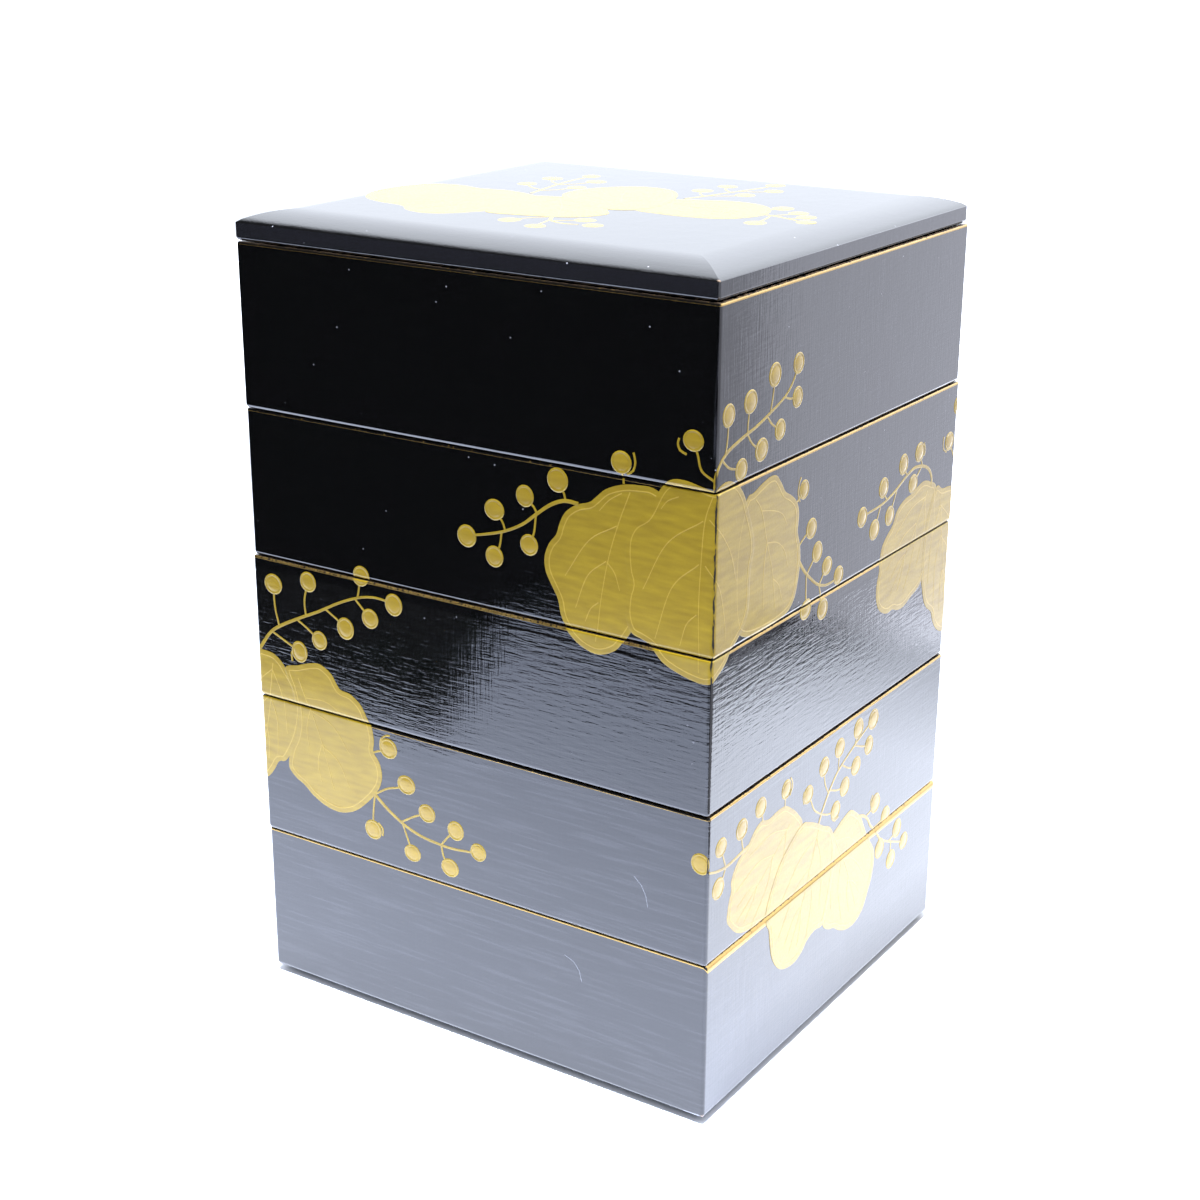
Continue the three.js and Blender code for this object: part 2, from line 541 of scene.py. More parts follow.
def rounded(inset, level, size, start, end, steps=4):
    """Points of an edge rounded by size, from one angle to another, about a centre."""
    turns = [math.radians(start + (end - start) * i / steps) for i in range(steps + 1)]
    return [(inset - size * math.cos(turn), level + size * math.sin(turn)) for turn in turns]


def outer(inset):
    """The corner radius of the walls, set in by so much."""
    return max(CORNER_ROUND - inset, LEAST_CORNER)


def lower_edge(edge):
    """Points up a lower wall edge: a small facet between two rounded parts."""
    turn = math.radians(FACET_TURN)
    run, fall = LOWER_FACET * math.sin(turn), LOWER_FACET * math.cos(turn)
    points = rounded(LOWER_ROUND + run, edge + LOWER_ROUND, LOWER_ROUND, -90, -FACET_TURN)
    return points + rounded(LOWER_ROUND, edge + LOWER_ROUND + fall, LOWER_ROUND, -FACET_TURN, 0, 2)


def foot_and_lower_edge(edge, sole):
    """Rings up a foot or frame, out under the wall and round its lower edge."""
    rings = []
    for inset, level in rounded(FOOT_INSET + FOOT_EDGE, sole + FOOT_EDGE, FOOT_EDGE, -90, 0):
        rings.append((inset, FOOT_ROUND, level, LACQUER, 0.0))
    rings.append((FOOT_INSET, FOOT_ROUND, edge, LACQUER, 0.0))
    under = lower_edge(edge)
    rings.append((under[0][0] + FLAT_STRIP, UNDER_CORNER, edge, LACQUER, 0.0))
    for inset, level in under:
        rings.append((inset, outer(inset), level, LACQUER, EDGE_WEAR))
    rings.append((0.0, CORNER_ROUND, under[-1][1] + FLAT_STRIP, LACQUER, 0.0))
    return rings


def tier_profile(edge, top):
    """Rings of one box, from its sole up the outside, over the rim and down to the bottom board."""
    rings = foot_and_lower_edge(edge, edge - FOOT_HEIGHT)
    rings.append((0.0, CORNER_ROUND, top - RIM_ROUND - FLAT_STRIP, LACQUER, 0.0))
    for (inset, level), wear in zip(rounded(RIM_ROUND, top - RIM_ROUND, RIM_ROUND, 0, 90), RIM_WEAR):
        rings.append((inset, outer(inset), level, GOLD_RIM, wear))
    rings.append((RIM_ROUND + FLAT_STRIP, RIM_CORNER, top, GOLD_RIM, RIM_WEAR[-1]))
    rings.append((WALL - RIM_ROUND - FLAT_STRIP, INNER_ROUND, top, LACQUER, 0.0))
    for inset, level in rounded(WALL - RIM_ROUND, top - RIM_ROUND, -RIM_ROUND, -90, 0):
        rings.append((inset, INNER_ROUND, level, LACQUER, 0.0))
    floor = edge + BOARD_ABOVE_EDGE
    for inset, rise in (
        (0.0, FLOOR_FILLET),
        (FLOOR_FILLET_MIDDLE, FLOOR_FILLET_MIDDLE),
        (FLOOR_FILLET, 0.0),
    ):
        rings.append((WALL + inset, INNER_ROUND, floor + rise, LACQUER, 0.0))
    return rings


def lid_profile(edge):
    """Rings of the lid, from the ceiling of its hollow round the frame and up to the flat of its crown."""
    shoulder = edge + LID_SIDE
    ceiling = edge + LID_CEILING
    sole = edge - LID_FRAME_DROP
    inner = FOOT_INSET + LID_FRAME_WALL
    rings = [(inner + CEILING_BEVEL, FOOT_ROUND, ceiling, LACQUER, 0.0)]
    rings.append((inner, FOOT_ROUND, ceiling - CEILING_BEVEL, LACQUER, 0.0))
    rings.append((inner, FOOT_ROUND, sole + FOOT_EDGE, LACQUER, 0.0))
    rings.append((inner - FOOT_EDGE, FOOT_ROUND, sole, LACQUER, 0.0))
    rings += foot_and_lower_edge(edge, sole)
    rings.append((0.0, CORNER_ROUND, shoulder - LID_EDGE_ROUND - FLAT_STRIP, LACQUER, 0.0))
    for inset, level in rounded(LID_EDGE_ROUND, shoulder - LID_EDGE_ROUND, LID_EDGE_ROUND, 0, 60, 3):
        rings.append((inset, outer(inset), level, LACQUER, EDGE_WEAR))
    for step in range(1, CROWN_STEPS + 1):
        inward = CROWN_START + (LID_MARGIN - CROWN_START) * step / CROWN_STEPS
        rise = LID_RISE * (1 - (1 - inward / LID_MARGIN) ** 2)
        rings.append((inward, max(CORNER_ROUND - inward, SHARP_CORNER), shoulder + rise, LACQUER, 0.0))
    rings.append((LID_MARGIN + CROWN_FLAT, SHARP_CORNER, shoulder + LID_RISE, LACQUER, 0.0))
    return rings


def slide(bm, shift):
    """Moves a shape as its piece has slid on its foot."""
    bmesh.ops.translate(bm, vec=(shift[0], shift[1], 0), verts=bm.verts)


# Gold work is drawn flat, in (along the wall, height) from the lowest wall edge, then laid round the walls

def smooth(points, closed=False, step=1.6):
    """A soft line through a few points, as a brush draws it."""
    points = [Vector(p) for p in points]
    count = len(points)
    spans = range(count) if closed else range(count - 1)
    line = []
    for i in spans:
        if closed:
            a, b, c, d = (points[(i + k) % count] for k in (-1, 0, 1, 2))
        else:
            b, c = points[i], points[i + 1]
            a = points[i - 1] if i else b * 2 - c
            d = points[i + 2] if i + 2 < count else c * 2 - b
        pieces = max(2, round((c - b).length / step))
        for k in range(pieces):
            t = k / pieces
            line.append(
                0.5
                * (
                    2 * b
                    + (c - a) * t
                    + (2 * a - 5 * b + 4 * c - d) * t * t
                    + (3 * b - a - 3 * c + d) * t * t * t
                )
            )
    if not closed:
        line.append(points[-1])
    return line


def left_of(line, i, closed):
    """Unit step to the left of a line at one of its points."""
    count = len(line)
    before = line[(i - 1) % count] if closed or i else line[i]
    after = line[(i + 1) % count] if closed or i + 1 < count else line[i]
    run = (after - before).normalized()
    return Vector((-run.y, run.x))


def inward_of(line):
    """One where the inside of a closed line lies on its left, or else minus one."""
    area = sum(line[i - 1].cross(line[i]) for i in range(len(line)))
    return 1 if area > 0 else -1


def lay_film(bm, outline, height):
    """A thin slab of gold with a soft edge, inside an outline."""
    line = smooth(outline, closed=True)
    ring = bmesh.ops.create_circle(bm, cap_ends=True, segments=len(line), radius=1)["verts"]
    for vert, point in zip(ring, line):
        vert.co = (point.x, FILM_SUNK, point.y)
    inward = inward_of(line)
    for out, inset in ((height - FILM_EDGE, 0.0), (height, FILM_BEVEL), (height, 2 * FILM_BEVEL)):
        ring = next_ring(bm, ring, FILM)
        for i, vert in enumerate(ring):
            spot = line[i] + left_of(line, i, True) * inset * inward
            vert.co = (spot.x, -out, spot.y)
    cap = bmesh.ops.contextual_create(bm, geom=ring)["faces"]
    bmesh.ops.triangulate(bm, faces=cap)


def draw_line(bm, line, widths, base, height, closed=False, paint=LINE):
    """A raised, rounded line along a path, from one width to another."""
    ring = bmesh.ops.create_circle(bm, cap_ends=not closed, segments=LINE_SIDES, radius=1)["verts"]
    first = ring
    for i, point in enumerate(line):
        if i:
            ring = next_ring(bm, ring, paint)
        width = widths[0] + (widths[1] - widths[0]) * i / max(len(line) - 1, 1)
        left = left_of(line, i, closed)
        for k, vert in enumerate(ring):
            angle = math.radians(180 * k / (LINE_SIDES - 1))
            spot = point + left * (math.cos(angle) * width / 2)
            out = base + height * math.sin(angle) if 0 < k < LINE_SIDES - 1 else -FILM_SUNK
            vert.co = (spot.x, -out, spot.y)
    if closed:
        bmesh.ops.bridge_loops(bm, edges=ring_edges(bm, ring) + ring_edges(bm, first))
    else:
        bmesh.ops.contextual_create(bm, geom=ring)
    for vert in ring + first:
        for face in vert.link_faces:
            face.material_index = paint


# Half of a bud cut through: shares of its radius, and heights. A groove parts the middle from the ring
BUD_PROFILE = (
    (0.0, 0.28),
    (0.35, 0.26),
    (0.60, 0.19),
    (0.72, 0.10),
    (0.77, 0.05),
    (0.82, 0.17),
    (0.89, 0.22),
    (0.96, 0.15),
    (1.0, 0.0),
    (1.0, -FILM_SUNK),
    (0.0, -FILM_SUNK),
)
BUD_STEPS = 20
BUD_GROOVE = 0.79


def set_bud(bm, centre, radius):
    """A low round bud with a raised rim, turned about its middle."""
    turned = bmesh.new()
    path = [turned.verts.new((r * radius, -out, 0)) for r, out in BUD_PROFILE]
    edges = [turned.edges.new(pair) for pair in zip(path, path[1:])]
    bmesh.ops.spin(
        turned,
        geom=path + edges,
        cent=(0, 0, 0),
        axis=(0, 1, 0),
        dvec=(0, 0, 0),
        angle=2 * math.pi,
        steps=BUD_STEPS,
        use_merge=True,
    )
    bmesh.ops.remove_doubles(turned, verts=turned.verts, dist=1e-4)
    for face in turned.faces:
        middle = face.calc_center_median()
        face.material_index = FILM if math.hypot(middle.x, middle.z) > BUD_GROOVE * radius else BUD
    oval = (1 + chance.uniform(-BUD_OVAL, BUD_OVAL), 1, 1 + chance.uniform(-BUD_OVAL, BUD_OVAL))
    bmesh.ops.scale(turned, vec=oval, verts=turned.verts)
    bmesh.ops.translate(turned, vec=(centre[0], 0, centre[1]), verts=turned.verts)
    append(bm, turned)


def append(bm, other):
    """Adds one shape to another, and frees it."""
    carried = bpy.data.meshes.new("carried")
    other.to_mesh(carried)
    other.free()
    bm.from_mesh(carried)
    bpy.data.meshes.remove(carried)


def lay_leaf(bm, layer, outline, veins):
    """A leaf of film, with a line inside its margin and its veins."""
    height = FILM_STEP * layer
    lay_film(bm, outline, height)
    line = smooth(outline, closed=True)
    inward = MARGIN_LINE_IN * inward_of(line)
    margin = [point + left_of(line, i, True) * inward for i, point in enumerate(line)]
    draw_line(bm, margin, (VEIN_WIDTH, VEIN_WIDTH), height, LINE_HEIGHT, closed=True)
    for vein in veins:
        draw_line(bm, smooth(vein), (VEIN_WIDTH, VEIN_TIP_WIDTH), height, LINE_HEIGHT)


def lay_spray(bm, stem, buds, curls):
    """A stem with buds on stalks, and small curls beside them."""
    draw_line(bm, smooth(stem), STEM_WIDTHS, STEM_BASE, STEM_HEIGHT, paint=FILM)
    stalk_widths = (STALK_WIDTH, STALK_WIDTH)
    for bud in buds:
        centre, stalk = Vector(bud[0]), [Vector(point) for point in bud[1:]]
        if stalk:
            draw_line(bm, smooth(stalk + [centre]), stalk_widths, STEM_BASE, STALK_HEIGHT, paint=FILM)
        set_bud(bm, centre, BUD_RADIUS * chance.uniform(*BUD_SIZES))
    for curl in curls:
        draw_line(bm, smooth(curl), stalk_widths, STEM_BASE, STALK_HEIGHT, paint=FILM)


# Side veins, as shares of the midrib's length along it and aside from it
VEIN_PATTERN = (
    ((0.06, 0.0), (0.27, 0.24), (0.60, 0.40)),
    ((0.32, 0.0), (0.53, 0.19), (0.88, 0.29)),
    ((0.62, 0.0), (0.73, 0.08), (0.93, 0.13)),
)


def leaf_veins(base, tip, spread=1.0):
    """A midrib, and long side veins that leave it and sweep towards the tip."""
    base, tip = Vector(base), Vector(tip)
    run = tip - base
    across = Vector((-run.y, run.x)) * spread
    veins = [(base, base + run * 0.5 + across * 0.03, tip)]
    for side in (-1, 1):
        for vein in VEIN_PATTERN:
            veins.append([base + run * along + across * (side * aside) for along, aside in vein])
    return veins


# Leaves as (layer, outline, veins), and sprays as (stem, buds with their stalks, curls)

CORNER_LEAVES = (
    (
        1,
        (
            (92, 277.5), (86, 277.6), (78, 276.6), (70, 273.4), (64.5, 268.6), (62, 266.6), (56, 264.6),
            (50.5, 260.5), (47.6, 255), (46, 250.2), (42.6, 246), (40.3, 240), (40.8, 233.5), (44.3, 227),
            (47, 222), (48.3, 216), (51.2, 210.8), (55.6, 206.4), (61, 203.6), (67.4, 202.6),
            (74.3, 205.2), (79, 210), (86, 222), (94, 245), (99, 264), (98, 274),
        ),
        (
            ((81.5, 274), (76, 259.5), (71.5, 244.5), (68, 226), (66, 208)),
            ((75.3, 259), (62, 250.5), (50.5, 233.5)),
            ((70.3, 243.2), (61.5, 235.5), (55.6, 220.5)),
            ((66.8, 225), (63, 221.5), (60.4, 215.5)),
            ((77.6, 273), (71.5, 269), (67, 264)),
            ((70.8, 243), (74.5, 239), (77, 232)),
        ),
    ),
    (
        2,
        (
            (145, 272.2), (150, 273.2), (156.2, 275.1), (163, 276.6), (168.8, 276), (173, 272),
            (177, 267.2), (182, 264.5), (187, 260.6), (189.5, 255), (189, 247.2), (191.2, 241),
            (192.2, 234.8), (191.8, 229.5), (189.5, 220.8), (186.2, 215.8), (180, 212.8), (165, 211.5),
            (146, 213.5), (138, 222), (136, 245), (139, 262),
        ),
        (
            ((152, 270), (157, 264), (162.5, 249), (167.5, 236), (171, 219)),
            ((157, 264), (167.5, 261.4), (175, 258), (179.5, 252)),
            ((162.6, 249), (171, 247), (177.5, 242), (181, 234)),
            ((162.4, 249), (160.8, 242), (160.2, 234), (161, 221)),
            ((168.6, 232), (173.4, 228), (177, 220)),
        ),
    ),
    (
        3,
        (
            (120.5, 280.8), (115, 281.6), (108, 283), (102, 282.8), (97.6, 280.2), (94.5, 276),
            (91.3, 269.5), (88.6, 265.4), (83.4, 261.6), (80.3, 256.2), (79.5, 249.6), (80.2, 241.5),
            (81.6, 236), (80.3, 231), (79.8, 222.5), (82.5, 215.5), (88, 213.4), (92.5, 211.4), (98, 206),
            (105, 202.9), (112.5, 201), (119, 200.7), (126.2, 203.6), (132, 207.2), (136, 211.6),
            (141, 215.2), (145.6, 219.5), (148.6, 226), (148.9, 236), (149.6, 243), (151.6, 250),
            (149.6, 259), (146, 266.8), (143, 273.2), (140, 277.2), (135.5, 281), (130, 282.8),
            (124.5, 282.2),
        ),
        (
            ((119.5, 279), (116, 268), (114.6, 250), (114, 229), (115, 205)),
            ((115.2, 268), (99, 256), (88, 234.8)),
            ((113.6, 250), (101.5, 238), (94, 215)),
            ((113, 229), (108.5, 224), (105.7, 214.5)),
            ((104, 276), (99, 273.5), (96, 269.8)),
            ((116.5, 250), (124.5, 240), (129.2, 224.5), (130, 217)),
            ((118, 269), (126, 261.5), (133, 252), (137.4, 240)),
        ),
    ),
)
CORNER_SPRAYS = (
    (
        ((57, 265), (50, 265.2), (43, 262.2), (36, 257), (29, 251.5), (20, 247), (11, 244.2), (3, 242.2)),
        (
            ((0.5, 241.5),),
            ((46.75, 273.4), (50.5, 265.4), (50, 268)),
            ((30.5, 264), (36.5, 257.4), (35, 260)),
            ((15, 255.5), (20.5, 247.2), (19, 251)),
            ((14.75, 235), (18.6, 246.2), (17.5, 240)),
            ((32.5, 243.3), (36, 256.6), (35, 249)),
            ((77.75, 285.75), (78.5, 277)),
            ((110.5, 299.5), (120.4, 284.6), (114.5, 288), (112.6, 294)),
        ),
        (
            ((80.5, 281.2), (83.4, 283.2), (84.3, 287), (83.4, 290.6)),
            ((107.6, 293.6), (104.6, 294.8), (103.6, 297.4), (104.2, 299.6)),
        ),
    ),
    (
        (
            (120.6, 281), (121.5, 288), (128, 294), (141, 297.8), (152, 300), (163, 303.2), (174, 307),
            (180, 311), (184, 316),
        ),
        (
            ((185.5, 319),),
            ((129.5, 309), (127.6, 293.8), (129, 300)),
            ((146.5, 311), (144.6, 298.8), (145, 304)),
            ((165.8, 318), (163, 303.6), (164.6, 310)),
            ((140.5, 285), (125.5, 292), (131, 287.8)),
            ((156.5, 289.5), (144.5, 298.4), (149, 293.4)),
            ((171.5, 294.5), (160, 302.4), (165, 297.8)),
            ((185.5, 305), (174.5, 307.2), (179, 305.6)),
        ),
        (),
    ),
    (
        ((191.5, 233), (194.5, 229.5), (199, 225.2), (208.5, 218.4), (217, 215.4), (226, 215.2)),
        (
            ((229, 216.5),),
            ((201.5, 245), (190.5, 240), (195, 242.6)),
            ((207.8, 233), (199, 225.6), (203, 229)),
            ((217.5, 224), (211, 217.4), (213.5, 220.5)),
            ((199.8, 209.5), (198.4, 225), (198.8, 216)),
            ((215.8, 205), (210.6, 217.2), (213, 211)),
            ((193.5, 264), (187.5, 260)),
        ),
        (((190, 259.6), (188.2, 263.5), (189, 268), (190.5, 270)),),
    ),
)

LEFT_LEAVES = (
    (
        1,
        (
            (-121, 164.8), (-117.5, 165.4), (-111.6, 164.8), (-107.2, 162.2), (-104.6, 159.2), (-98, 150),
            (-96.5, 138), (-99.5, 126), (-104, 117), (-107.8, 111.8), (-111.8, 110.6), (-114.8, 106),
            (-118.5, 101.6), (-124, 99), (-130, 103), (-137, 113), (-141, 126), (-141, 140), (-136, 152),
            (-129, 160),
        ),
        leaf_veins((-112, 160), (-123, 108), 0.62),
    ),
    (
        2,
        (
            (-104.6, 159.2), (-97.2, 162), (-89.8, 164.6), (-83.5, 165.4), (-77.2, 162.2), (-73.6, 157.2),
            (-71.6, 155.5), (-66, 154.6), (-60.4, 150.8), (-57.2, 145.8), (-54.8, 140.6), (-53.9, 134.6),
            (-54.4, 129.4), (-51.2, 124.8), (-49.8, 119), (-51, 113.4), (-54, 108.5), (-58, 104),
            (-63.4, 99), (-68.6, 95.8), (-75.5, 93.8), (-83.5, 94.7), (-91, 98), (-96.6, 102.3),
            (-102.2, 105.3), (-105.8, 110), (-104, 119), (-100.4, 126.5), (-98.6, 137), (-101, 149),
        ),
        (
            ((-97, 156), (-90.5, 141), (-84, 124), (-78.5, 104)),
            ((-90, 141), (-78, 136.5), (-68, 124.5)),
            ((-84.5, 125), (-75.5, 119.5), (-69, 107.5)),
            ((-92.8, 147), (-80, 147.5), (-68, 141.5)),
            ((-91, 141.5), (-93.5, 131), (-92, 119)),
            ((-85, 125.5), (-87.5, 116), (-86, 106.5)),
        ),
    ),
)
LEFT_SPRAYS = (
    (
        (
            (-121.5, 163), (-118, 168), (-112.5, 175), (-106, 179.6), (-94, 185.8), (-83, 191),
            (-71, 197.4), (-60, 202), (-51, 204), (-43, 203.8),
        ),
        (
            ((-39.6, 202.8),),
            ((-109.4, 199), (-107, 179.4), (-109, 188)),
            ((-88.5, 204), (-90.6, 187.6), (-91, 195)),
            ((-58, 212.5), (-60, 202), (-59, 206)),
            ((-95.4, 169), (-111.4, 175.6), (-103, 172.2)),
            ((-83.2, 177), (-96, 184.6), (-90, 181.4)),
            ((-67.6, 186), (-79, 193), (-72.6, 189.6)),
            ((-53.2, 193.6), (-61.5, 201.4), (-57.6, 197.8)),
        ),
        (((-98.4, 170.4), (-100.2, 167.4), (-100, 163.4)),),
    ),
    (
        (
            (-54.6, 108.6), (-51, 105.6), (-46, 102), (-38.5, 97.8), (-31, 95), (-23.5, 93.6),
            (-12, 92.9), (0, 94),
        ),
        (
            ((3.75, 95),),
            ((-36, 117.6), (-54, 108.6), (-47, 113), (-41, 115)),
            ((-24.6, 106.5), (-39.4, 98.4), (-32, 103)),
            ((-8.6, 102.2), (-16.6, 93.4), (-13, 98)),
            ((-56, 90.2), (-54.4, 108), (-55.6, 99)),
            ((-33.4, 84.4), (-38.6, 97.6), (-36, 91)),
            ((-12.2, 83), (-16.8, 93), (-15.6, 87.6)),
            ((-45.75, 133), (-54.6, 129), (-50, 131)),
        ),
        (
            ((-53, 94.4), (-50.4, 92), (-50.6, 88.4)),
            ((-50.4, 132.6), (-49.8, 136.6), (-47, 139), (-44.6, 139.4)),
        ),
    ),
)

RIGHT_LEAVES = (
    (
        1,
        (
            (-96.6, 88.6), (-95.2, 96.8), (-93.4, 101.2), (-93.7, 105.8), (-90.2, 111.4), (-84.6, 115.4),
            (-80, 117), (-74.5, 121.6), (-68.8, 123.8), (-62.2, 122.1), (-54.6, 122.9), (-47.4, 122.6),
            (-41.6, 119.4), (-35.2, 114.2), (-30, 107), (-34, 95), (-45, 80), (-60, 73.5), (-74, 75),
            (-84.4, 77.2), (-90, 80.6), (-94, 84.6),
        ),
        leaf_veins((-42, 112), (-88, 84), 0.85),
    ),
    (
        2,
        (
            (5.4, 91.6), (11, 93.6), (18, 94.9), (24, 91.6), (29.8, 86.6), (33.4, 80.8), (36.5, 75.5),
            (40, 70), (44.8, 63.6), (46, 57.1), (44.2, 48.8), (40.2, 41.6), (35.8, 35.2), (27.8, 31.4),
            (18.6, 31.9), (10.8, 35), (5, 38.8), (-1, 40.8), (-6.6, 45.7), (-12, 60), (-10, 78), (-2, 88),
        ),
        leaf_veins((2, 88), (28, 40), 0.85),
    ),
    (
        3,
        (
            (-30.2, 107), (-24.6, 105.8), (-16.2, 102), (-9.6, 98), (-1.8, 93.8), (3, 84), (2, 70),
            (-2, 56), (-6.6, 46.2), (-14.4, 46.5), (-21.4, 44.8), (-27.2, 40.8), (-34.4, 38.7),
            (-44, 40.2), (-50.8, 44.4), (-55.8, 51.4), (-58, 59.2), (-59.4, 66.5), (-62.2, 71.2),
            (-61, 80), (-52, 94), (-40, 103),
        ),
        leaf_veins((-14, 98), (-40, 46), 0.88),
    ),
)
RIGHT_SPRAYS = (
    (
        (
            (-80, 116.4), (-86, 115.8), (-92, 115), (-98.7, 114.6), (-106, 115.6), (-112, 117.4),
            (-115.6, 119.6),
        ),
        (
            ((-117, 121.2),),
            ((-103, 125.4), (-98.8, 115), (-101, 120)),
            ((-85.7, 126.8), (-84, 116.4), (-85.4, 121)),
            ((-104.6, 107.2), (-98.8, 114.6), (-101, 110.6)),
            ((-69.5, 130.5), (-67.4, 122.5), (-68, 126)),
            ((-46.7, 130.2), (-47.4, 121.6), (-47.4, 126)),
        ),
        (((-43.4, 126), (-41.2, 129), (-41.6, 132.4), (-43.2, 134.4)),),
    ),
    (
        (
            (-14.6, 100), (-11, 106), (-6, 112.2), (1.3, 119), (8, 122.6), (19, 127.2), (28, 130.4),
            (34, 132.4),
        ),
        (
            ((38, 133.6),),
            ((-25.6, 119.6), (-12, 104.6), (-19, 109.4), (-22.6, 115)),
            ((-11, 127.6), (-5.6, 112.6), (-9.6, 119)),
            ((4, 131.4), (3.2, 120.6), (3.6, 126)),
            ((22.6, 134.4), (19.4, 127.4), (21, 130.6)),
            ((2.4, 101), (-11.4, 104.4), (-5, 101.8)),
            ((10.8, 109.6), (-4.4, 113.6), (3, 110.8)),
            ((21.6, 116), (7, 121.8), (14, 117.8)),
            ((34.4, 121.8), (19.6, 127), (27, 123.8)),
        ),
        (((-29.4, 116.4), (-30.6, 119.6), (-29.6, 122.6)), ((5.6, 96.6), (1.6, 96), (-1.4, 98.4))),
    ),
    (
        (
            (26, 88.4), (32, 86.4), (37, 83), (40.6, 78), (44.4, 74.6), (48, 70), (53, 65), (61, 60.8),
            (70, 57), (76, 54.6),
        ),
        (
            ((79.4, 53.8),),
            ((45, 88), (35.4, 85), (40, 85.8)),
            ((57, 77), (43.4, 75.4), (50, 75.4)),
            ((70.6, 64.2), (61, 60.8), (65.6, 61.6)),
            ((51.6, 61), (50.4, 67.4), (50.6, 64)),
            ((65.2, 49.6), (64.2, 59.2), (64.4, 54)),
        ),
        (((40.6, 87.6), (39.8, 90.8), (41.6, 93.4)),),
    ),
)

FAR_LEAVES = (
    (
        1,
        (
            (80, 238.8), (73, 237.8), (67.6, 236), (58.6, 234.8), (51.3, 231.2), (47.5, 225.6), (42, 222),
            (37.4, 217.6), (35.9, 212), (36.6, 206.6), (34.9, 201.4), (34.7, 195), (37.2, 188.8),
            (42.4, 184.8), (48, 183.1), (53, 183.4), (58.2, 181.6), (65, 181.3), (72.4, 183.8),
            (78.6, 185.6), (83.8, 188.8), (92, 200), (96, 216), (93.8, 232.4), (87.4, 236.5),
        ),
        leaf_veins((84, 233), (50, 192), 0.8),
    ),
    (
        2,
        (
            (93.8, 232.4), (101.2, 230), (108, 229.4), (114, 228.4), (124, 226), (132, 218), (137, 205),
            (138, 190), (135, 175), (129, 164), (121, 157.4), (112.6, 154.8), (105.6, 157.4),
            (100, 163.2), (97.4, 168.8), (91.2, 173.2), (87.5, 178.2), (85.6, 183.8), (83.8, 189),
            (83.4, 203), (85.6, 219),
        ),
        leaf_veins((99, 226), (113, 164), 0.66),
    ),
)
FAR_SPRAYS = (
    (
        (
            (88.4, 234), (87.6, 239), (84.6, 243), (80, 245.6), (74, 247.2), (67, 247.6), (58, 245.2),
            (48, 241.4), (36, 238.6), (20, 237.8),
        ),
        (
            ((15.5, 237.5),),
            ((36, 246), (40, 239.4), (37.8, 242)),
            ((56, 252.2), (60.6, 246), (58, 248.6)),
            ((73, 254.2), (76.6, 246.8), (75, 250)),
            ((28.4, 228.4), (33.8, 238.2), (31, 233)),
            ((43.8, 231), (50.2, 242), (46.8, 236)),
            ((67.4, 240.4), (75.6, 246.6), (71, 243)),
            ((106, 252), (115.6, 236), (111.6, 244), (108.6, 248)),
            ((113.4, 268), (117, 252), (115, 260)),
        ),
        (
            ((78, 251.4), (78.9, 254.4), (77.2, 257.6)),
            ((103.4, 247.4), (100.2, 249), (98.8, 252.4), (99.6, 255.6)),
        ),
    ),
)

LID_LEAVES = (
    (
        1,
        (
            (-107, -20), (-101, -3), (-86, 2.5), (-72, -0.5), (-58, 1.5), (-42, -3), (-30, -12),
            (-26, -30), (-29, -50), (-38, -66), (-48, -73), (-60, -70.5), (-70, -62), (-85, -59),
            (-98, -52), (-106, -38),
        ),
        leaf_veins((-36, -10), (-78, -58)),
    ),
    (
        2,
        (
            (14, 10), (20, 22), (32, 27.4), (45, 32), (58, 30), (68, 22), (74, 8), (71.6, -5), (64, -14),
            (50, -18), (34, -17.6), (20, -13),
        ),
        leaf_veins((22, 12), (65, -4), 0.7),
    ),
    (
        3,
        (
            (-38, -6), (-16, 1), (0, -7), (12, -22), (18, -32), (12.4, -45), (2, -51), (-12, -54.6),
            (-28, -56), (-37, -40), (-41, -22),
        ),
        leaf_veins((-24, -6), (2, -46)),
    ),
    (
        4,
        (
            (-30, 5), (-31, 25), (-22, 40), (-10, 47), (3, 45), (13, 35), (20, 20), (24, 2), (22, -14),
            (8, -20), (-15, -9),
        ),
        leaf_veins((6, -2), (-16, 40)),
    ),
)
LID_SPRAYS = (
    (
        ((-44, 0), (-47, 14), (-50, 30), (-52, 46), (-52, 56)),
        (
            ((-52, 62),), ((-63, 24), (-47, 12), (-55, 16)), ((-63, 45), (-50, 31), (-57, 36)),
            ((-37, 27), (-46, 9), (-40, 17)), ((-40, 48), (-50, 29), (-44, 36)),
        ),
        (),
    ),
    (
        ((22, 26), (26, 40), (30, 58), (34, 74), (35, 80)),
        (
            ((35.6, 86),), ((16, 52), (25, 38), (20, 43)), ((19, 70), (29, 55), (23, 61)),
            ((39, 51), (26.6, 40), (34, 44)), ((44, 69), (31, 60), (39, 63)),
        ),
        (),
    ),
    (
        ((71, 6), (78, 6), (86, 3), (93, 0)),
        (
            ((98, -1.6),), ((72, 26), (66, 18), (70, 21)), ((84, 18), (77, 6.4), (81, 11)),
            ((81, -15), (77, 6), (80, -5)), ((92, 10), (86, 3.4), (90, 5.6)),
        ),
        (),
    ),
    (
        ((2, -50), (7, -58), (15, -62), (23, -61)),
        (
            ((29, -59.4),), ((-8, -67), (2, -51), (-4, -58)), ((10, -74), (6, -57.4), (8, -66)),
            ((19, -50), (8, -58.6), (14, -54)),
        ),
        (),
    ),
)


def gold_cluster(leaves, sprays):
    """One cluster of leaves and sprays, drawn flat."""
    bm = bmesh.new()
    for stem, buds, curls in sprays:
        lay_spray(bm, stem, buds, curls)
    for layer, outline, veins in leaves:
        lay_leaf(bm, layer, outline, veins)
    bmesh.ops.recalc_face_normals(bm, faces=bm.faces)
    return bm


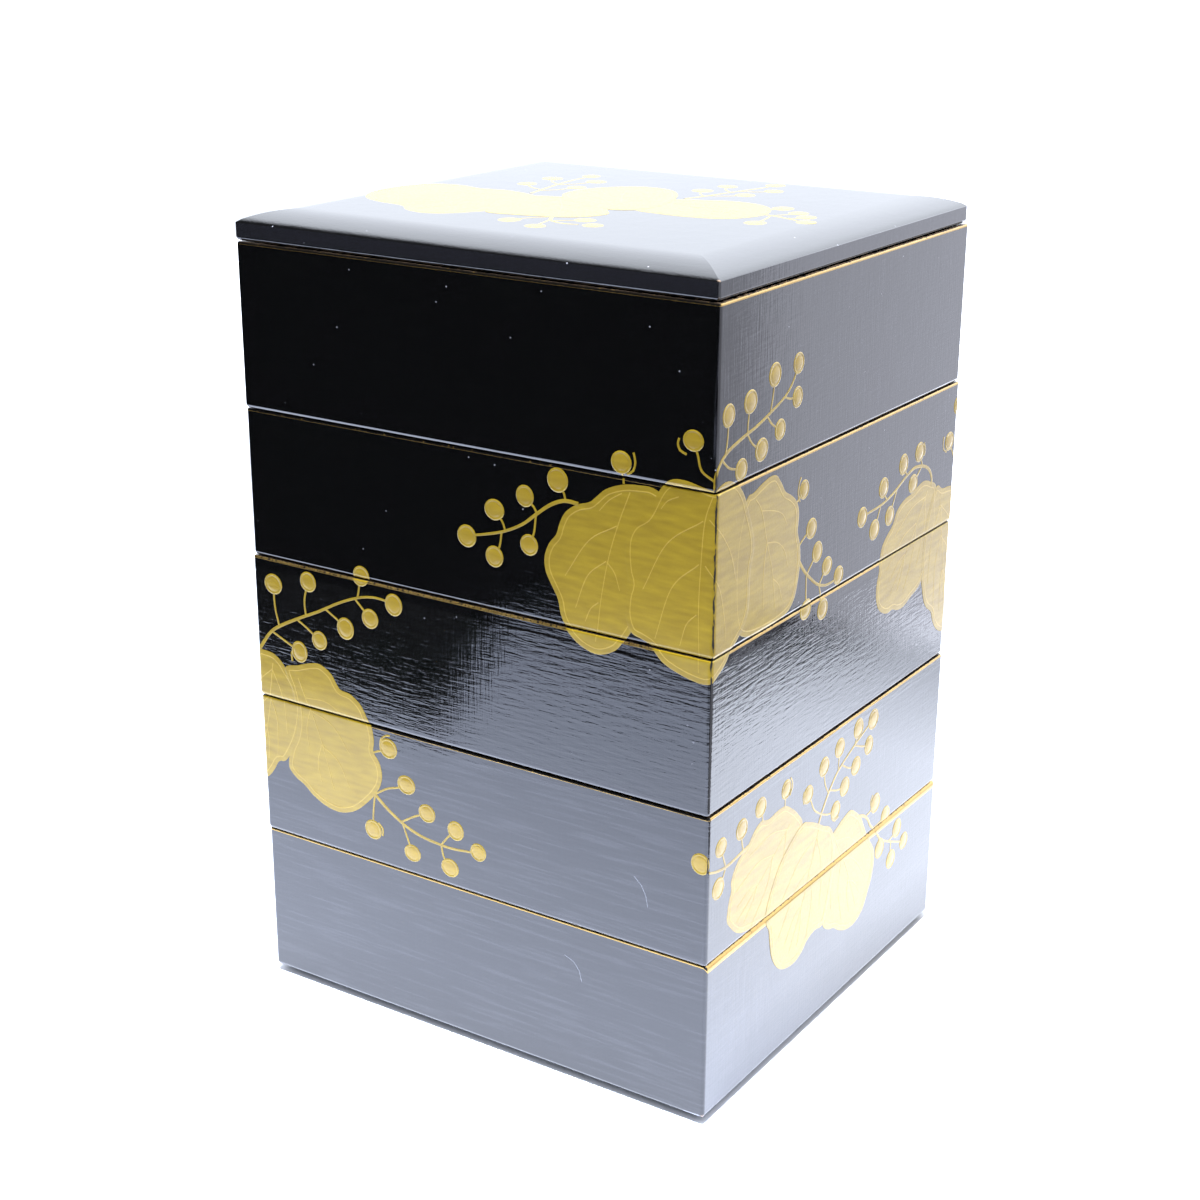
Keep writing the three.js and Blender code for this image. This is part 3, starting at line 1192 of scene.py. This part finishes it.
def cut(bm, place, way, drop_beyond=False):
    """Cuts a flat cluster across, and drops what lies beyond if that is asked for."""
    bmesh.ops.bisect_plane(
        bm,
        geom=bm.verts[:] + bm.edges[:] + bm.faces[:],
        plane_co=place,
        plane_no=way,
        clear_outer=drop_beyond,
    )
    if drop_beyond:
        open_edges = [edge for edge in bm.edges if edge.is_boundary]
        bmesh.ops.holes_fill(bm, edges=open_edges, sides=0)


def side_length(side):
    """How long a wall is, from corner to corner."""
    return WIDTH if side in (FRONT, BACK) else DEPTH


def on_wall(side, along, out):
    """Where a point lies once the flat work is laid round the walls and their rounded corners."""
    while along > side_length(side) / 2:
        along -= (side_length(side) + side_length((side + 1) % 4)) / 2
        side = (side + 1) % 4
    while along < -side_length(side) / 2:
        along += (side_length(side) + side_length((side - 1) % 4)) / 2
        side = (side - 1) % 4
    reach = side_length((side + 1) % 4) / 2
    straight = side_length(side) / 2 - CORNER_ROUND
    over = max(abs(along) - straight, 0.0)
    angle = math.radians(45 * over / CORNER_ROUND)
    if over > 0:
        along = math.copysign(straight + (CORNER_ROUND + out) * math.sin(angle), along)
        away = reach - CORNER_ROUND + (CORNER_ROUND + out) * math.cos(angle)
    else:
        away = reach + out
    return ((along, -away), (away, along), (-along, away), (-away, -along))[side]


# The gold is worn this far to each side of a corner
WEAR_REACH = 1.9
# The film ends this share of its radius up a lower edge, and is cut at these shares of a rim
FILM_END = 0.25
RIM_SHARES = (0.0, 0.3, 0.5, 0.7, 0.87)
# Cuts beside a corner, so that the film bends round it
BEND_CUTS = (0.0, 0.45, 0.9, CORNER_ROUND, CORNER_ROUND + FLAT_STRIP)


def fall_back(level, low, high, rim):
    """How far the wall has fallen back at a level, over its rounded edges."""
    for (inset, here), (next_inset, above) in zip(low, low[1:]):
        if level <= above:
            return inset + (next_inset - inset) * (level - here) / (above - here)
    over = min(max(level - high[0], 0.0), rim)
    return rim - math.sqrt(rim * rim - over * over)


def lay_on_tier(target, flat, side, edge, top, rim, shift):
    """Lays the part of a flat cluster that falls on one box, over its rounded edges."""
    bm = flat.copy()
    low = [point for point in lower_edge(edge) if point[1] > edge + LOWER_ROUND * FILM_END]
    shares = RIM_SHARES if rim == RIM_ROUND else RIM_SHARES[:2]
    high = [top - rim * (1 - share) for share in shares]
    cut(bm, (0, 0, high[-1]), (0, 0, 1), drop_beyond=True)
    cut(bm, (0, 0, low[0][1]), (0, 0, -1), drop_beyond=True)
    if not bm.verts:
        bm.free()
        return
    levels = [level for inset, level in low[1:]] + high[:-1]
    for level in levels + [low[-1][1] + FLAT_STRIP, high[0] - FLAT_STRIP]:
        cut(bm, (0, 0, level), (0, 0, 1))
    bends = [side_length(side) / 2, -side_length(side) / 2]
    for bend in bends:
        for step in BEND_CUTS:
            cut(bm, (bend + step, 0, 0), (1, 0, 0))
            cut(bm, (bend - step, 0, 0), (1, 0, 0))
    wear_and_shade_layer = bm.verts.layers.float.new("edge_wear_and_shade")
    for vert in bm.verts:
        along, out, level = vert.co.x, -vert.co.y, vert.co.z
        nearest = min(abs(along - bend) for bend in bends)
        vert[wear_and_shade_layer] = max(0.0, 1 - nearest / WEAR_REACH)
        x, y = on_wall(side, along, out - fall_back(level, low, high, rim))
        vert.co = (x + shift[0], y + shift[1], level)
    append(target, bm)


# Pieces

edges = [FOOT_HEIGHT]
for name, pitch, shift in TIERS:
    edges.append(edges[-1] + pitch)
lid_edge = edges[-1]


for (name, pitch, shift), edge in zip(TIERS, edges):
    top = edge + pitch - JOINT_GAP
    bm = shell(tier_profile(edge, top), FRONT_RIM_WEAR_AND_SHADE.get(name, WORN_AND_SHADED_FRONT_RIM), top, WIDE_RIM.get(name, 1.0))
    slide(bm, shift)
    body = write_piece(bm, name + "_box", (lacquer, gold_rim))
    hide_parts(name)

bm = shell(lid_profile(lid_edge))
slide(bm, LID_SHIFT)
lid = write_piece(bm, "lid_board", (lacquer,))
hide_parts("lid")

# Wall, leaves, sprays, and how far along the wall and up it they are moved
CLUSTERS = (
    (FRONT, CORNER_LEAVES, CORNER_SPRAYS, 0.0, 0.0),
    (FRONT, LEFT_LEAVES, LEFT_SPRAYS, 0.0, 0.0),
    (RIGHT, RIGHT_LEAVES, RIGHT_SPRAYS, 0.0, 0.0),
    (RIGHT, FAR_LEAVES, FAR_SPRAYS, 0.0, 0.0),
    (BACK, RIGHT_LEAVES, RIGHT_SPRAYS, 25.0, 34.0),
    (LEFT, RIGHT_LEAVES, RIGHT_SPRAYS, -20.0, 168.0),
)
clusters = []
for side, leaves, sprays, along, up in CLUSTERS:
    flat = gold_cluster(leaves, sprays)
    bmesh.ops.translate(flat, vec=(along, 0, up + FOOT_HEIGHT), verts=flat.verts)
    clusters.append((side, flat))

for (name, pitch, shift), edge in zip(TIERS, edges):
    gold = bmesh.new()
    for side, flat in clusters:
        rim = RIM_ROUND * WIDE_RIM.get(name, 1.0) if side == RIGHT else RIM_ROUND
        lay_on_tier(gold, flat, side, edge, edge + pitch - JOINT_GAP, rim, shift)
    write_piece(gold, name + "_gold", (gold_film, gold_line, gold_bud))

gold = gold_cluster(LID_LEAVES, LID_SPRAYS)
lid_top = lid_edge + LID_SIDE + LID_RISE
for vert in gold.verts:
    vert.co = (vert.co.x + LID_SHIFT[0], vert.co.z + LID_SHIFT[1], lid_top - vert.co.y * LID_FILM_SHARE)
write_piece(gold, "lid_gold", (gold_film, gold_line, gold_bud))
for side, flat in clusters:
    flat.free()


# Stage

# The outline of the lit floor. The walls mirror its edges as the line between light and dark
FLOOR_CORNERS = (
    (0.363, -0.574),
    (-0.313, -0.574),
    (-0.232, -0.397),
    (-1.6, -0.393),
    (-1.6, 4.0),
    (0.334, 4.0),
    (0.334, 0.47),
    (0.363, 0.42),
)
# The paper's tone nearest the camera, and the bands of depth over which it fades to the next tone. These
# tones are painted light: darker paper stands in for the light falling off, as the walls mirror it
NEAREST_PAPER_SHADE = "#a8acb6"
PAINTED_PAPER_FALLOFF = (
    (-0.52, -0.16, "#dadde5"),
    (-0.16, 0.05, "#d9d9d9"),
    (0.30, 0.55, "#898989"),
    (0.58, 0.75, "#f6f6f6"),
)

floor_mesh = bpy.data.meshes.new("floor")
bm = bmesh.new()
ring = bmesh.ops.create_circle(bm, cap_ends=True, segments=len(FLOOR_CORNERS), radius=1)["verts"]
for vert, corner in zip(ring, FLOOR_CORNERS):
    vert.co = (corner[0], corner[1], 0)
bmesh.ops.recalc_face_normals(bm, faces=bm.faces)
if sum(face.normal.z for face in bm.faces) < 0:
    bmesh.ops.reverse_faces(bm, faces=bm.faces)
bm.to_mesh(floor_mesh)
bm.free()
floor = bpy.data.objects.new("floor", floor_mesh)
bpy.context.collection.objects.link(floor)
paper, paper_tree, paper_shader = new_material("white_paper_with_painted_falloff")
paper_place = add(paper_tree, "ShaderNodeTexCoord").outputs["Object"]
paper_depth = add(paper_tree, "ShaderNodeSeparateXYZ", {"Vector": paper_place}).outputs["Y"]
paper_colour_with_falloff = linear(NEAREST_PAPER_SHADE)
# Each fade is painted light falling off across the paper
for start, end, shade in PAINTED_PAPER_FALLOFF:
    fade = add(paper_tree, "ShaderNodeMapRange", {"Value": paper_depth, "From Min": start, "From Max": end})
    paper_colour_with_falloff = add(
        paper_tree,
        "ShaderNodeMix",
        {"Factor": fade.outputs["Result"], "A": paper_colour_with_falloff, "B": linear(shade)},
        data_type="RGBA",
    ).outputs["Result"]
paper_tree.links.new(paper_colour_with_falloff, paper_shader.inputs["Base Color"])
paper_shader.inputs["Roughness"].default_value = 1.0
paper_shader.inputs["Specular IOR Level"].default_value = 0.0
floor_mesh.materials.append(paper)


def area_light(name, place, turn, size, watts, colour):
    """A soft square or oblong light that the camera doesn't see."""
    data = bpy.data.lights.new(name, "AREA")
    data.color = linear(colour)[:3]
    data.shape = "RECTANGLE"
    data.size, data.size_y = size
    data.energy = watts
    light = bpy.data.objects.new(name, data)
    light.location = place
    light.rotation_euler = Euler([math.radians(t) for t in turn], "XYZ")
    light.visible_camera = False
    bpy.context.collection.objects.link(light)
    return light


# The key light falls from above. The cards only show as soft glints in the lacquer
key = area_light("key", (0.22, -0.45, 2.3), (0.0, 0.0, 0.0), (0.5, 0.5), 400.0, "#e7eeff")
key.visible_glossy = False
for name, place, turn, size, watts in (
    ("right_card", (0.40, 0.065, 0.30), (0.0, 90.0, 0.0), (0.60, 0.73), 2.2),
    ("back_card", (0.29, 0.43, 0.31), (-90.0, 0.0, 0.0), (0.22, 0.58), 1.015),
):
    card = area_light(name, place, turn, size, watts, "#edf0ff")
    card.visible_diffuse = False

world = bpy.data.worlds.new("studio")
bpy.context.scene.world = world
world.use_nodes = True
sky = world.node_tree
sky.nodes.clear()
path = add(sky, "ShaderNodeLightPath")
way = add(sky, "ShaderNodeTexCoord").outputs["Generated"]

# A pale wall behind the stack, with a brighter pane in it, under a bright ceiling
WINDOW_WAY = (0.05, 0.93, 0.36)
window = add(sky, "ShaderNodeVectorMath", {0: way, 1: WINDOW_WAY}, operation="DOT_PRODUCT")
wall = add(
    sky,
    "ShaderNodeMapRange",
    {"Value": window.outputs["Value"], "From Min": 0.40, "From Max": 0.62, "To Min": 0.02, "To Max": 2.1},
    interpolation_type="SMOOTHSTEP",
)
pane = add(
    sky,
    "ShaderNodeMapRange",
    {"Value": window.outputs["Value"], "From Min": 0.85, "From Max": 0.95, "To Max": 0.25},
    interpolation_type="SMOOTHSTEP",
)
upward = add(sky, "ShaderNodeSeparateXYZ", {"Vector": way})
ceiling = add(
    sky,
    "ShaderNodeMapRange",
    {"Value": upward.outputs["Z"], "From Min": 0.14, "From Max": 0.62, "To Min": 1.0, "To Max": 1.9},
)
room = add(
    sky,
    "ShaderNodeMath",
    {0: wall.outputs["Result"], 1: ceiling.outputs["Result"], 2: pane.outputs["Result"]},
    operation="MULTIPLY_ADD",
)

# The room is dark below the horizon, apart from its left side
leftward = add(sky, "ShaderNodeMath", {0: -0.15, 1: upward.outputs["X"]}, operation="SUBTRACT").outputs[0]
open_way = add(sky, "ShaderNodeMath", {0: upward.outputs["Z"], 1: leftward}, operation="MAXIMUM").outputs[0]
above = add(sky, "ShaderNodeMapRange", {"Value": open_way, "From Min": -0.03, "From Max": 0.0})
lit = add(sky, "ShaderNodeMath", {0: room.outputs[0], 1: above.outputs["Result"]}, operation="MULTIPLY")

# Matt surfaces are lit by an even dome, and the camera sees plain white
DOME_LIGHT = 2.6
BACKDROP_LIGHT = 1.3
dome = add(sky, "ShaderNodeMapRange", {"Value": upward.outputs["Z"], "To Max": DOME_LIGHT})
seen = add(
    sky,
    "ShaderNodeMix",
    {"Factor": path.outputs["Is Diffuse Ray"], "A": lit.outputs[0], "B": dome.outputs["Result"]},
)
final = add(
    sky,
    "ShaderNodeMix",
    {"Factor": path.outputs["Is Camera Ray"], "A": seen.outputs["Result"], "B": BACKDROP_LIGHT},
)
background = add(
    sky, "ShaderNodeBackground", {"Color": linear("#eef4ff"), "Strength": final.outputs["Result"]}
)
add(sky, "ShaderNodeOutputWorld", {"Surface": background.outputs["Background"]})

bpy.context.scene.view_settings.view_transform = "Standard"
